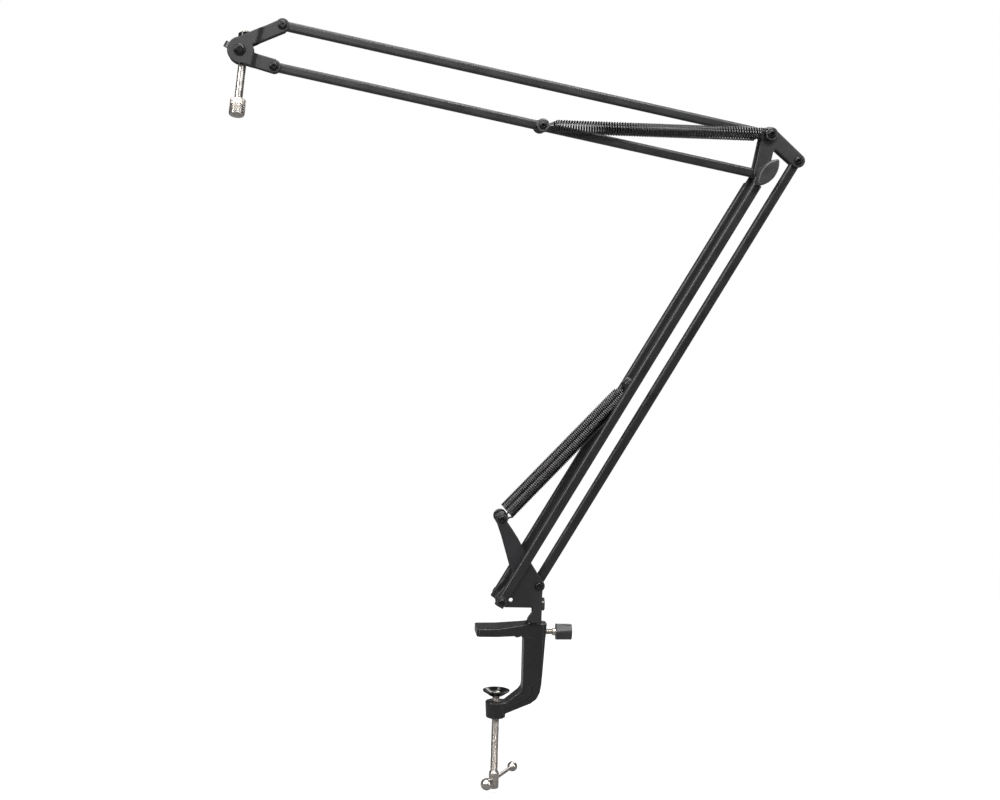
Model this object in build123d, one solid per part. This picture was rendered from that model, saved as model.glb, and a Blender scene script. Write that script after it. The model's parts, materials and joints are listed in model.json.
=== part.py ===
from build123d import *
import os
from math import acos, atan2, cos, degrees, hypot, radians, sin

# Spring-balanced two-stage desk arm with a C-clamp foot and a microphone pin.
# Frame: origin on the desk contact face of the upper jaw, +Z up, +X from the
# free end of the jaw towards the post, +Y away from the wing knob. Millimetres.
# Front is -X, near is -Y (the knob side), far is +Y. The arm plane is Y = 0 and
# its points are (X, Z) pairs. Angles are in degrees, from +X towards +Z.

# ---------------------------------------------------------------- shared dimensions
TUBE = 9.5               # square tube, outside
TUBE_CORNER = 1.9        # its outer corner radius
TUBE_WALL = 1.2
TUBE_INNER_CORNER = 0.7
HALF_TUBE = TUBE / 2

LOWER_LEN = 514.2        # pivot to pivot, lower bars
LOWER_ANG = 60.08        # direction of the lower bars from the base
UPPER_LEN = 507.3        # pivot to pivot, upper bars
UPPER_ANG = 169.60       # direction of the upper bars from the elbow
LOWER_LINK = (38.9, 14.9)    # lower parallelogram link, front pivot to rear pivot
UPPER_LINK = (7.8, 41.0)     # upper parallelogram link, lower pivot to top pivot
HEAD_LINK = (-34.0, 14.8)    # lower head pivot to head swivel axis

PLATE = 2.5              # sheet thickness of every bracket
BASE_IN = 13.0           # half gap between the base bracket's cheeks
BASE_OUT = BASE_IN + PLATE
ELBOW_IN = 6.0           # half gap between the elbow plates
ELBOW_OUT = ELBOW_IN + PLATE
HEAD_IN = 6.0            # half gap between the head plates at the arms
HEAD_OUT = HEAD_IN + PLATE
NOSE_IN = 10.7           # half gap between the head plates at the nose
NOSE_OUT = NOSE_IN + PLATE

M5 = 2.5                 # bolt radii
M6 = 3.0
FIT = 0.02               # clearance of fixed holes and of faces that meet
SLIP = 0.03              # radial clearance of washers, spacers and spools
RUN = 0.05               # radial clearance of turning parts
BUSH = 3.5               # tube hole for a pivot bush, radius
BUSH_R = BUSH - 0.01     # pivot bush, outer radius
NUT_AF = 8.0             # M5 nut, across flats
SOCKET_AF = 3.0          # hex socket in the button heads, across flats

FRONT_Y_BASE = 22.0      # half spacing of the front tubes at the base
FRONT_Y_ELBOW = 19.4     # half spacing of the front tubes at the elbow
LOWER_SPRING_Y = 9.4     # half spacing of the lower springs
UPPER_SPRING_Y = 15.0    # half spacing of the upper springs
LOWER_PIN_AT = 259.2     # lower spring pin, distance along the front tubes from the base
UPPER_PIN_AT = 231.7     # upper spring bolt, distance along the lower bar from the elbow

SWIVEL_X = 39.8          # swivel pin axis
SWIVEL_R = 5.0           # swivel pin radius
SCREW_X = 2.7            # clamp screw axis
SCREW_R = 4.0            # M8
LOCK_Z = 2.4             # swivel lock screw axis


# ---------------------------------------------------------------- points in the arm plane
def unit(angle):
    return cos(radians(angle)), sin(radians(angle))


def locate(p, u, ahead, across=0.0):
    """Point a distance ahead of p along unit vector u, and across it to its +90 degree side."""
    return p[0] + u[0] * ahead - u[1] * across, p[1] + u[1] * ahead + u[0] * across


def polar(p, r, angle):
    return locate(p, unit(angle), r)


def shift(p, d):
    return p[0] + d[0], p[1] + d[1]


BASE_FRONT = (3.4, 38.8)                       # front tubes' lower pivot
BASE_REAR = shift(BASE_FRONT, LOWER_LINK)
ELBOW = polar(BASE_FRONT, LOWER_LEN, LOWER_ANG)
ELBOW_REAR = shift(ELBOW, LOWER_LINK)
ELBOW_TOP = shift(ELBOW, UPPER_LINK)
HEAD_LOW = polar(ELBOW, UPPER_LEN, UPPER_ANG)
HEAD_TOP = shift(HEAD_LOW, UPPER_LINK)
NOSE = shift(HEAD_LOW, HEAD_LINK)              # head swivel axis
HORN = (2.2, 123.4)                            # horn bolt, lower springs
LOWER_PIN = polar(BASE_FRONT, LOWER_PIN_AT, LOWER_ANG)
UPPER_PIN = polar(ELBOW, UPPER_PIN_AT, UPPER_ANG)


# ---------------------------------------------------------------- solid helpers
def sweep(points, travel):
    """Polygon through 3-D points, extruded by a vector."""
    outline = Wire.make_polygon([Vector(*q) for q in points], close=True)
    return Solid.extrude(Face(outline), Vector(*travel))


def prism_x(yz, x0, x1):
    return sweep([(x0, y, z) for y, z in yz], (x1 - x0, 0, 0))


def prism_y(xz, y0, y1):
    return sweep([(x, y0, z) for x, z in xz], (0, y1 - y0, 0))


def prism_z(xy, z0, z1):
    return sweep([(x, y, z0) for x, y in xy], (0, 0, z1 - z0))


def rod(r, length, origin, axis):
    return Solid.make_cylinder(r, length, Plane(origin=origin, z_dir=axis))


def cone(r0, r1, length, origin, axis):
    return Solid.make_cone(r0, r1, length, Plane(origin=origin, z_dir=axis))


def cyl_x(z, r, x0, x1):
    return rod(r, x1 - x0, (x0, 0, z), (1, 0, 0))


def cyl_y(p, r, y0, y1):
    return rod(r, y1 - y0, (p[0], y0, p[1]), (0, 1, 0))


def cyl_z(x, r, z0, z1):
    return rod(r, z1 - z0, (x, 0, z0), (0, 0, 1))


def hexagon(r, turn=0.0, centre=(0, 0)):
    return [polar(centre, r, turn + 60 * i) for i in range(6)]


def hex_y(p, across_flats, y0, y1, turn=0.0):
    return prism_y(hexagon(across_flats / 2 / cos(radians(30)), turn, p), y0, y1)


def one(shape):
    """The largest solid of a shape."""
    return max(shape.solids(), key=lambda s: s.volume)


def circles(shape, test=lambda e: True):
    return [e for e in shape.edges() if e.geom_type == GeomType.CIRCLE and test(e)]


def mirror_y(shape):
    return shape.mirror(Plane.XZ)


def span(side, y0, y1):
    """The Y range y0 to y1 on the far side (1), or its mirror on the near side (-1)."""
    return (y0, y1) if side > 0 else (-y1, -y0)


def mirrored(half):
    """Closed outline from its -Y half."""
    return half + [(x, -y) for x, y in reversed(half)]


# ---------------------------------------------------------------- hardware
def ring_y(p, outer, bore, y0, y1):
    return one(cyl_y(p, outer, y0, y1) - cyl_y(p, bore, y0 - 1, y1 + 1))


def ring_pair(p, outer, bore, y0, y1):
    return [ring_y(p, outer, bore, *span(side, y0, y1)) for side in (1, -1)]


def domed_disc(p, r, y0, y1, y_rim, rounding):
    disc = cyl_y(p, r, y0, y1)
    return disc.fillet(rounding, circles(disc, lambda e: abs(e.center().Y - y_rim) < 1e-6))


def dome_bolt(p, y_face, y_end, head_r, head_h):
    """M5 button-head bolt: head on the -Y side of y_face, shank to y_end."""
    top = y_face - head_h
    head = domed_disc(p, head_r, top, y_face, top, head_h * 0.72)
    head = head - hex_y(p, SOCKET_AF, top - 1, top + 1.5, 15)
    return one(head + cyl_y(p, M5, y_face, y_end))


def nut_y(p, y0, y1, bolt_r=M5, turn=0.0):
    """Hex nut with its +Y corners chamfered."""
    face_r, taper = NUT_AF / 2 + 0.15, 3
    chamfer_cone = cone(face_r, face_r + taper, taper, (p[0], y1, p[1]), (0, -1, 0))
    keep = cyl_y(p, NUT_AF / 2 / cos(radians(30)) + 1, y0 - 1, y1 - taper) + chamfer_cone
    nut = hex_y(p, NUT_AF, y0, y1, turn) & keep
    return one(nut - cyl_y(p, bolt_r + FIT, y0 - 1, y1 + 1))


def plate_bolt(p, outer, head_r=4.3, head_h=2.8):
    """Bolt through a pair of plates whose outer faces are at +-outer."""
    return dome_bolt(p, -outer - FIT, outer + 6.5, head_r, head_h)


def plate_nut(p, outer):
    return nut_y(p, outer + FIT, outer + 5.0)


SPOOL_R = 5.2            # bottom of the groove the spring loops sit in
SPOOL_RIM = 0.9
SPOOL_LIP = 2.2          # loop centre to the inner end of a lower spring spool


def spool(p, y0, y1, y_loop, bore):
    """Spool with a shallow groove for the wire loop at y_loop."""
    body = ring_y(p, SPOOL_R + SPOOL_RIM, bore, y0, y1)
    groove = (cyl_y(p, SPOOL_R + 3, y_loop - 1.15, y_loop + 1.15)
              - cyl_y(p, SPOOL_R, y_loop - 2, y_loop + 2))
    return one(body - groove)


def spool_pair(p, y0, y1, y_loop, bore=M5 + SLIP):
    return Compound([spool(p, *span(side, y0, y1), side * y_loop, bore) for side in (1, -1)])


# ---------------------------------------------------------------- tubes
def square_tube(start, end, past_start, past_end):
    """Hollow rounded square tube between two 3-D points, run past each of them."""
    a, b = Vector(*start), Vector(*end)
    axis = (b - a).normalized()
    width = (Vector(0, 1, 0) - axis * axis.dot(Vector(0, 1, 0))).normalized()
    section = Plane(origin=a - axis * past_start, x_dir=width, z_dir=axis)
    length = (b - a).length + past_start + past_end
    inner = TUBE - 2 * TUBE_WALL
    outside = extrude(section * RectangleRounded(TUBE, TUBE, TUBE_CORNER), amount=length)
    inside = extrude(section * RectangleRounded(inner, inner, TUBE_INNER_CORNER), amount=length)
    return outside - inside


def half_space(p, angle, reach, depth):
    """Box that covers everything beyond p in a direction in the arm plane."""
    ux, uz = unit(angle)
    plane = Plane(origin=(p[0], 0, p[1]), x_dir=(ux, 0, uz), z_dir=(0, -1, 0))
    return plane * Pos(reach / 2, 0, 0) * Box(reach, reach * 2, depth)


def centre_tube(p, q, angle):
    """Tube in the arm plane with both ends rounded about their pivots."""
    full = square_tube((p[0], 0, p[1]), (q[0], 0, q[1]), 6, 6)
    middle = full - half_space(q, angle, 30, 40) - half_space(p, angle + 180, 30, 40)
    ends = (full & cyl_y(p, HALF_TUBE, -20, 20)) + (full & cyl_y(q, HALF_TUBE, -20, 20))
    return middle + ends - cyl_y(p, BUSH, -20, 20) - cyl_y(q, BUSH, -20, 20)


def centre_bush(p, bore=M5 + RUN):
    return ring_y(p, BUSH_R, bore, -(HALF_TUBE + FIT), HALF_TUBE + FIT)


PIECES = {}


def piece(build):
    """Register a function as the builder of the piece that has its name."""
    PIECES[build.__name__] = build
    return build


# ---------------------------------------------------------------- clamp
CLAMP_SIDE = [           # X, Z: jaw, post, lower limb, then back up the throat
    (-20.6, 0.0), (-20.6, 7.7), (1.0, 8.0), (36.0, 12.2), (43.0, 13.0), (53.2, 13.0),
    (52.0, -4.5), (50.4, -31.0), (49.2, -52.4), (47.8, -61.0), (44.4, -68.0),
    (38.5, -72.7), (12.5, -83.5), (6.0, -86.0), (2.7, -86.0), (2.7, -72.0),
    (12.2, -72.0), (26.3, -60.4), (28.8, -56.8), (29.4, -52.5), (29.2, -5.0),
    (28.2, -2.0), (25.6, -0.2), (23.6, -1.3), (20.2, -1.3), (19.2, 0.0)]
JAW_PLAN = mirrored([    # X, Y
    (-20.6, -14.5), (-18.2, -17.0), (0.0, -17.0), (8.0, -15.4),
    (33.0, -10.4), (40.0, -9.6), (49.0, -9.6), (54.0, -6.2)])
POST_PLAN = mirrored([(-12, -9.6), (49.0, -9.6), (53.5, -5.6)])    # X, Y
STEP_SIDE = [            # X, Z: region where both flanks of the lower limb are cut back
    (60, -37.0), (48.6, -45.7), (37.2, -54.4), (36.4, -63.8), (32.2, -67.2),
    (7.4, -79.6), (2.0, -80.5), (2.0, -100), (60, -100)]
STEP_Y = 8.0             # half width left between the stepped flanks


@piece
def clamp_body():
    body = prism_y(CLAMP_SIDE, -17.0, 17.0)
    body = body & prism_z(JAW_PLAN, -100, 30)
    # below the jaw the casting keeps to the post's width
    narrow = prism_z(POST_PLAN, -100, -2)
    upper = body & Pos(15, 0, 5) * Box(90, 40, 14)
    lower = body & narrow
    body = upper + lower
    body = body - (prism_y(STEP_SIDE, -12, -STEP_Y) + prism_y(STEP_SIDE, STEP_Y, 12))
    boss = cone(10.2, 11.2, 17.4, (SCREW_X, 0, -89.2), (0, 0, 1))
    body = body + boss.fillet(1.2, circles(boss))
    socket = cyl_z(SWIVEL_X, 9.6, -2.0, 13.6)
    body = body + socket.fillet(0.9, circles(socket, lambda e: e.center().Z > 13))
    body = body - cyl_z(SWIVEL_X, SWIVEL_R + RUN, -24.0, 20.0)
    body = body - cyl_z(SWIVEL_X, 7.2, 12.6, 20.0)       # recess for the pin's flange
    body = body - cyl_z(SCREW_X, SCREW_R + RUN, -100, -60)
    body = body - cyl_x(LOCK_Z, M6 + RUN, SWIVEL_X, 60)
    return one(body)


SCREW_NOSE_R = 3.0       # reduced end of the clamp screw
PAD_SECTION = [          # radius, Z of the dished pad
    (SCREW_NOSE_R + 0.06, -66.6), (7.0, -66.0), (13.6, -61.6), (14.2, -60.9),
    (14.2, -60.2), (13.7, -60.0), (12.2, -60.1), (7.6, -63.0), (6.0, -63.6),
    (SCREW_NOSE_R + 0.06, -63.6)]


@piece
def pressure_pad():
    """Dished disc that turns freely on the screw's nose."""
    section = Face(Wire.make_polygon([Vector(r, 0, z) for r, z in PAD_SECTION], close=True))
    pad = Solid.revolve(section, 360, Axis((0, 0, 0), (0, 0, 1)))
    return one(pad.moved(Location((SCREW_X, 0, 0))))


BAR_R = 2.1              # tommy bar
BAR_Z = -156.4
BAR_DIR = (*unit(62.0), 0)
BAR_BACK = 19.0          # reach from the screw axis against BAR_DIR
BAR_AHEAD = 52.4         # reach from the screw axis along BAR_DIR
TIP_Z = -61.3            # top of the clamp screw


def bar_point(s):
    return SCREW_X + s * BAR_DIR[0], s * BAR_DIR[1], BAR_Z


@piece
def clamp_screw():
    shank = cyl_z(SCREW_X, SCREW_R, -147.0, -66.8) + cyl_z(SCREW_X, SCREW_NOSE_R, -67.0, -63.0)
    tip = cyl_z(SCREW_X, 4.3, -63.5, TIP_Z)
    tip = tip.fillet(1.7, circles(tip, lambda e: abs(e.center().Z - TIP_Z) < 1e-6))
    head = cyl_z(SCREW_X, 5.3, -165.6, -146.8)
    head = head.fillet(1.0, circles(head))
    return one(shank + tip + head - rod(BAR_R + RUN, 40, bar_point(-20), BAR_DIR))


@piece
def tommy_bar():
    return rod(BAR_R, BAR_BACK + BAR_AHEAD, bar_point(-BAR_BACK), BAR_DIR)


def bar_ball(at, r, sign):
    """Ball bored to its centre from the bar's side."""
    ball = Solid.make_sphere(r).moved(Location(bar_point(at)))
    return one(ball - rod(BAR_R + FIT, 20, bar_point(at - sign * 20),
                          tuple(sign * v for v in BAR_DIR)))


@piece
def tommy_balls():
    return Compound([bar_ball(-BAR_BACK - 0.05, 6.4, -1), bar_ball(BAR_AHEAD + 0.05, 5.5, 1)])


# ---------------------------------------------------------------- swivel lock
LOCK_END = 68.0          # outer end of the lock screw


@piece
def lock_screw():
    return cyl_x(LOCK_Z, M6, SWIVEL_X + 5.35, LOCK_END)


@piece
def lock_washer():
    return one(cyl_x(LOCK_Z, 4.1, 60.2, 63.4) - cyl_x(LOCK_Z, M6 + 0.06, 60, 65))


@piece
def lock_knob():
    """Tapered knob with six flats."""
    knob = cone(9.2, 8.5, 16.3, (63.6, 0, LOCK_Z), (1, 0, 0))
    cutters = []
    for i in range(6):
        uy, uz = unit(60 * i + 20)
        face = Plane(origin=(73, 10.8 * uy, LOCK_Z + 10.8 * uz), x_dir=(1, 0, 0), z_dir=(0, uy, uz))
        cutters.append(face * Box(30, 14, 5.2))
    knob = one(knob - sum(cutters[1:], start=cutters[0]))
    return knob - cyl_x(LOCK_Z, M6 + FIT, 60, LOCK_END + FIT)


# ---------------------------------------------------------------- base bracket
BACK_X = 46.5            # rear face of the web
FLOOR_Z = 14.6           # underside of the floor
WEB_TOP = 43.0
WEB_SCREW_Z = 31.6
# cheek outline, X, Z: horn tip down the front edge, the toe, then up the back
CHEEK_FRONT = [(-3.2, 123.0), (-2.5, 120.6), (4.4, 101.6), (14.6, 67.8), (9.6, 56.0),
               (-1.9, 42.6), (-2.4, 38.2), (0.2, 34.4)]
NEAR_TOE = [(4.4, 32.4), (8.0, 31.0), (33.8, 30.8), (36.6, 30.2), (37.3, 28.4), (36.3, 26.2),
            (32.9, 22.2), (31.6, 19.6), (31.9, 17.0), (34.1, FLOOR_Z)]
FAR_EDGE = [(6.5, 35.6), (10.0, 36.2), (33.5, 36.2), (37.6, 34.6), (39.0, 31.5),
            (39.0, FLOOR_Z)]     # the far cheek is cut higher and has no toe
CHEEK_BACK = [(BACK_X, FLOOR_Z), (BACK_X, WEB_TOP), (46.9, 55.5), (45.6, 59.4), (34.3, 76.8),
              (18.9, 104.2), (7.0, 121.2)]
FLOOR_PLAN = [(33.0, -BASE_OUT), (BACK_X, -BASE_OUT), (BACK_X, BASE_OUT), (39.0, BASE_OUT),
              (39.0, 9.0), (33.0, 1.0)]     # X, Y


def cheek(side):
    y0, y1 = span(side, BASE_IN, BASE_OUT)
    bottom = FAR_EDGE if side > 0 else NEAR_TOE
    plate = prism_y(CHEEK_FRONT + bottom + CHEEK_BACK, y0, y1)
    for p, r in ((HORN, 5.5), (BASE_FRONT, 6.0), (BASE_REAR, 6.3)):
        plate = plate + cyl_y(p, r, y0, y1)
    for p in (HORN, BASE_FRONT, BASE_REAR):
        plate = plate - cyl_y(p, M5 + FIT, y0 - 1, y1 + 1)
    if side < 0:
        plate = plate - cyl_y((13.6, 38.9), 2.1, y0 - 1, y1 + 1)
    return plate


@piece
def base_bracket():
    bracket = cheek(-1) + cheek(1)
    web = Box(PLATE, 2 * BASE_OUT, WEB_TOP - FLOOR_Z)
    bracket = bracket + Pos(BACK_X - PLATE / 2, 0, (FLOOR_Z + WEB_TOP) / 2) * web
    bracket = bracket + prism_z(FLOOR_PLAN, FLOOR_Z, FLOOR_Z + PLATE)
    bracket = bracket - cyl_z(SWIVEL_X, M5 + FIT, 10, 25)
    # the upright rear edges, picked before the web's hole is cut
    rear_edges = [e for e in bracket.edges()
                  if e.geom_type == GeomType.LINE and abs(e.center().X - BACK_X) < 1e-3
                  and abs(abs(e.center().Y) - BASE_OUT) < 1e-3 and e.length > 20]
    bracket = bracket - cyl_x(WEB_SCREW_Z, M6 + SLIP, 40, 50)
    # guards the fillet: if the picked edges cannot be rounded they stay sharp
    try:
        bracket = bracket.fillet(1.8, rear_edges)
    except Exception:
        pass
    return one(bracket)


@piece
def swivel_pin():
    """Flanged, grooved pin with a stud that is nutted inside the bracket."""
    pin = cyl_z(SWIVEL_X, SWIVEL_R, -21.0, 13.0) + cyl_z(SWIVEL_X, 7.0, 12.7, FLOOR_Z - FIT)
    pin = pin - (cyl_z(SWIVEL_X, 6.0, -1.0, 6.0) - cyl_z(SWIVEL_X, 4.7, -1.0, 6.0))
    return one(pin + cyl_z(SWIVEL_X, M5, 14.0, 24.0))


@piece
def swivel_pin_nut():
    seat = FLOOR_Z + PLATE + FIT
    body = prism_z(hexagon(4.1, centre=(SWIVEL_X, 0)), seat, seat + 4.6)
    return one(body - cyl_z(SWIVEL_X, M5 + FIT, 10, 30))


@piece
def web_screw():
    seat = BACK_X + FIT
    head = prism_x(hexagon(7.2, 30, (0, WEB_SCREW_Z)), seat, seat + 3.9)
    head = head & cyl_x(WEB_SCREW_Z, 6.9, 46.0, 51.0)
    return one(head + cyl_x(WEB_SCREW_Z, M6, 38.5, 47.0))


@piece
def web_nut():
    body = prism_x(hexagon(5.8, centre=(0, WEB_SCREW_Z)), 39.4, 43.9)
    return one(body - cyl_x(WEB_SCREW_Z, M6 + FIT, 38, 45))


# base pivots: a long bolt through both front tubes, the rear tube between the cheeks
FRONT_IN = FRONT_Y_BASE - HALF_TUBE
FRONT_OUT = FRONT_Y_BASE + HALF_TUBE


@piece
def front_pivot_bolt():
    return dome_bolt(BASE_FRONT, -(FRONT_OUT + 1.0), FRONT_OUT + 7.5, 3.9, 2.6)


@piece
def front_pivot_washers():
    return Compound(
        ring_pair(BASE_FRONT, 4.9, M5 + SLIP, BASE_OUT + FIT, FRONT_IN - 0.15)
        + ring_pair(BASE_FRONT, 4.9, M5 + SLIP, FRONT_OUT + 0.12, FRONT_OUT + 0.95))


@piece
def bracket_spacers():
    inside = BASE_IN - FIT
    return Compound([ring_y(BASE_FRONT, 4.5, M5 + SLIP, -inside, inside)]
                    + ring_pair(BASE_REAR, 4.2, M5 + SLIP, HALF_TUBE + 0.12, inside))


@piece
def bracket_bolts():
    return Compound([plate_bolt(p, BASE_OUT) for p in (BASE_REAR, HORN)])


@piece
def bracket_nuts():
    return Compound([nut_y(BASE_FRONT, FRONT_OUT + 1.0, FRONT_OUT + 6.0),
                     plate_nut(BASE_REAR, BASE_OUT), plate_nut(HORN, BASE_OUT)])


@piece
def horn_spools():
    return spool_pair(HORN, LOWER_SPRING_Y - SPOOL_LIP, BASE_IN - FIT, LOWER_SPRING_Y)


# ---------------------------------------------------------------- lower arm
PIN_TUBE_Y = FRONT_Y_BASE + (FRONT_Y_ELBOW - FRONT_Y_BASE) * LOWER_PIN_AT / LOWER_LEN
PIN_WALL_Y = PIN_TUBE_Y - HALF_TUBE     # inner face of a front tube at the spring pin
PIN_R = M5 - FIT                        # lower spring pin
PIN_SPOOL_END = LOWER_SPRING_Y + 1.9
ELBOW_TUBE_IN = FRONT_Y_ELBOW - HALF_TUBE       # inner face of a front tube at the elbow
TONGUE_OUT = ELBOW_TUBE_IN + TUBE_WALL          # outer face of the tongue there


def front_tube(side):
    tube = square_tube((BASE_FRONT[0], side * FRONT_Y_BASE, BASE_FRONT[1]),
                       (ELBOW[0], side * FRONT_Y_ELBOW, ELBOW[1]), 6.0, 6.5)
    # the outer walls stop short of the elbow, the inner wall runs on as a tongue
    stop = polar(BASE_FRONT, LOWER_LEN - 12.5, LOWER_ANG)
    corners = [locate(stop, unit(LOWER_ANG), *c) for c in ((0, 7), (30, 7), (30, -7), (0, -7))]
    tube = tube - prism_y(corners, *span(side, TONGUE_OUT + 0.02, TONGUE_OUT + 14.02))
    beyond = half_space(ELBOW, LOWER_ANG, 30, 80)
    tube = (tube - beyond) + (tube & beyond & cyl_y(ELBOW, HALF_TUBE + 0.6, -40, 40))
    tube = tube - cyl_y(BASE_FRONT, BUSH, -40, 40) - cyl_y(ELBOW, M6 + RUN, -40, 40)
    # hole for the spring pin in the inner wall only
    return one(tube - cyl_y(LOWER_PIN, M5, *span(side, 0, PIN_TUBE_Y)))


@piece
def front_tube_near():
    return front_tube(-1)


@piece
def front_tube_far():
    return front_tube(1)


@piece
def front_tube_bushes():
    return Compound(ring_pair(BASE_FRONT, BUSH_R, M5 + RUN, FRONT_IN - FIT, FRONT_OUT + FIT))


@piece
def lower_spring_pin():
    return cyl_y(LOWER_PIN, PIN_R, -(PIN_WALL_Y + 1.0), PIN_WALL_Y + 1.0)


@piece
def lower_spring_pin_spools():
    return spool_pair(LOWER_PIN, LOWER_SPRING_Y - SPOOL_LIP, PIN_SPOOL_END, LOWER_SPRING_Y, M5)


@piece
def lower_spring_pin_nuts():
    nut = nut_y(LOWER_PIN, PIN_SPOOL_END + 0.05, PIN_WALL_Y - 0.15, PIN_R, 25)
    return Compound([nut, mirror_y(nut)])


@piece
def rear_tube():
    return one(centre_tube(BASE_REAR, ELBOW_REAR, LOWER_ANG))


@piece
def rear_tube_bushes():
    return Compound([centre_bush(BASE_REAR), centre_bush(ELBOW_REAR, M5 + 0.35)])


# ---------------------------------------------------------------- elbow
ELBOW_WEB = [            # X, Z: metal between the two limbs, down to the crotch
    shift(ELBOW_TOP, (-7.0, -1.0)), shift(ELBOW_TOP, (9.0, -6.0)), (273.4, 508.2),
    (271.2, 508.2), (268.2, 499.0), shift(ELBOW, (7.0, 4)), shift(ELBOW, (-7.3, 1.0))]


def capsule(p, q, rp, rq, y0, y1):
    """Plate between two round ends of radii rp and rq."""
    dx, dz = q[0] - p[0], q[1] - p[1]
    heading = degrees(atan2(dz, dx))
    tangent = degrees(acos((rp - rq) / hypot(dx, dz)))
    flanks = [polar(p, rp, heading + tangent), polar(q, rq, heading + tangent),
              polar(q, rq, heading - tangent), polar(p, rp, heading - tangent)]
    return prism_y(flanks, y0, y1) + cyl_y(p, rp, y0, y1) + cyl_y(q, rq, y0, y1)


def elbow_plate(side):
    y0, y1 = span(side, ELBOW_IN, ELBOW_OUT)
    plate = (capsule(ELBOW_TOP, ELBOW_REAR, 7.7, 7.0, y0, y1)
             + capsule(ELBOW_TOP, ELBOW, 7.7, 7.4, y0, y1))
    plate = plate + prism_y(ELBOW_WEB, y0, y1)
    for p, r in ((ELBOW_TOP, M5), (ELBOW, M6), (ELBOW_REAR, M5)):
        plate = plate - cyl_y(p, r + FIT, y0 - 1, y1 + 1)
    return one(plate)


@piece
def elbow_plate_near():
    return elbow_plate(-1)


@piece
def elbow_plate_far():
    return elbow_plate(1)


@piece
def elbow_spacers():
    return Compound(ring_pair(ELBOW, 5.6, M6 + SLIP, ELBOW_OUT + FIT, ELBOW_TUBE_IN - 0.15))


@piece
def elbow_bolt():
    face, top = TONGUE_OUT + 1.3, TONGUE_OUT + 5.0
    shank = cyl_y(ELBOW, M6, -(TONGUE_OUT + 14.0), face)
    return one(shank + domed_disc(ELBOW, 6.2, face, top, top, 2.6))


@piece
def elbow_top_bolt():
    return dome_bolt(ELBOW_TOP, -(UPPER_SPRING_Y + 3.1), UPPER_SPRING_Y + 9.0, 4.4, 2.8)


@piece
def elbow_spools():
    return spool_pair(ELBOW_TOP, ELBOW_OUT + FIT, UPPER_SPRING_Y + 2.0, UPPER_SPRING_Y)


@piece
def elbow_washers():
    return Compound(
        ring_pair(ELBOW, 6.6, M6 + SLIP, TONGUE_OUT + 0.2, TONGUE_OUT + 1.28)
        + ring_pair(ELBOW_TOP, 6.2, M5 + SLIP, UPPER_SPRING_Y + 2.05, UPPER_SPRING_Y + 3.05))


@piece
def elbow_rear_bolt():
    return plate_bolt(ELBOW_REAR, ELBOW_OUT)


@piece
def elbow_nuts():
    return Compound([nut_y(ELBOW_TOP, UPPER_SPRING_Y + 3.1, UPPER_SPRING_Y + 8.0),
                     plate_nut(ELBOW_REAR, ELBOW_OUT)])


KNOB_Y = -(TONGUE_OUT + 1.35)    # inner face of the wing knob
LEAF_LEN = 34.6                  # lens-shaped grip, before its points are cut off
LEAF_WIDTH = 15.0
LEAF_ANG = 53.5


@piece
def wing_knob():
    hub = cone(7.6, 5.4, 12.0, (ELBOW[0], KNOB_Y, ELBOW[1]), (0, -1, 0))
    arc_r = (LEAF_LEN ** 2 + LEAF_WIDTH ** 2) / (4 * LEAF_WIDTH)
    arc_offset = arc_r - LEAF_WIDTH / 2
    centre = shift(ELBOW, (1.2, 1.2))
    y_out, y_in = KNOB_Y - 21.0, KNOB_Y - 9.0
    arc_1, arc_2 = (cyl_y(locate(centre, unit(LEAF_ANG), 0, across), arc_r, y_out, y_in)
                    for across in (arc_offset, -arc_offset))
    leaf = one(arc_1 & arc_2 & cyl_y(centre, LEAF_LEN / 2 - 0.8, y_out - 1, y_in + 1))
    # guards the fillet of the grip's outer rim: if it fails the rim stays sharp
    try:
        leaf = leaf.fillet(1.6, [e for e in leaf.edges() if abs(e.center().Y - y_out) < 0.01])
    except Exception:
        pass
    return one(leaf + hub) - cyl_y(ELBOW, M6 + FIT, KNOB_Y - 13.2, 0)


# ---------------------------------------------------------------- upper arm
@piece
def upper_low_tube():
    return one(centre_tube(ELBOW, HEAD_LOW, UPPER_ANG) - cyl_y(UPPER_PIN, M5 + FIT, -20, 20))


@piece
def upper_low_tube_bushes():
    return Compound([centre_bush(ELBOW, M6 + RUN), centre_bush(HEAD_LOW)])


@piece
def upper_top_tube():
    return one(centre_tube(ELBOW_TOP, HEAD_TOP, UPPER_ANG))


@piece
def upper_top_tube_bushes():
    return Compound([centre_bush(ELBOW_TOP), centre_bush(HEAD_TOP, M5 + 0.10)])


@piece
def upper_spring_bolt():
    return dome_bolt(UPPER_PIN, -(UPPER_SPRING_Y + 2.0), UPPER_SPRING_Y + 8.0, 3.9, 2.5)


@piece
def upper_spring_nut():
    return nut_y(UPPER_PIN, UPPER_SPRING_Y + 2.0, UPPER_SPRING_Y + 7.0)


@piece
def upper_spring_spools():
    return spool_pair(UPPER_PIN, HALF_TUBE + FIT, UPPER_SPRING_Y + 1.98, UPPER_SPRING_Y)


# ---------------------------------------------------------------- springs
COIL_R = 6.4             # sleeve that stands for the coil, outside and inside
COIL_IN = 4.6
WIRE = 0.9               # wire radius
LOOP_R = 6.2             # end loop, mean radius
SHANK_AT = LOOP_R - 0.3  # pin centre to the start of a loop's shank
TURN = 4.0               # length of the separate end turn
HOOK_REACH = 14.0


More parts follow.
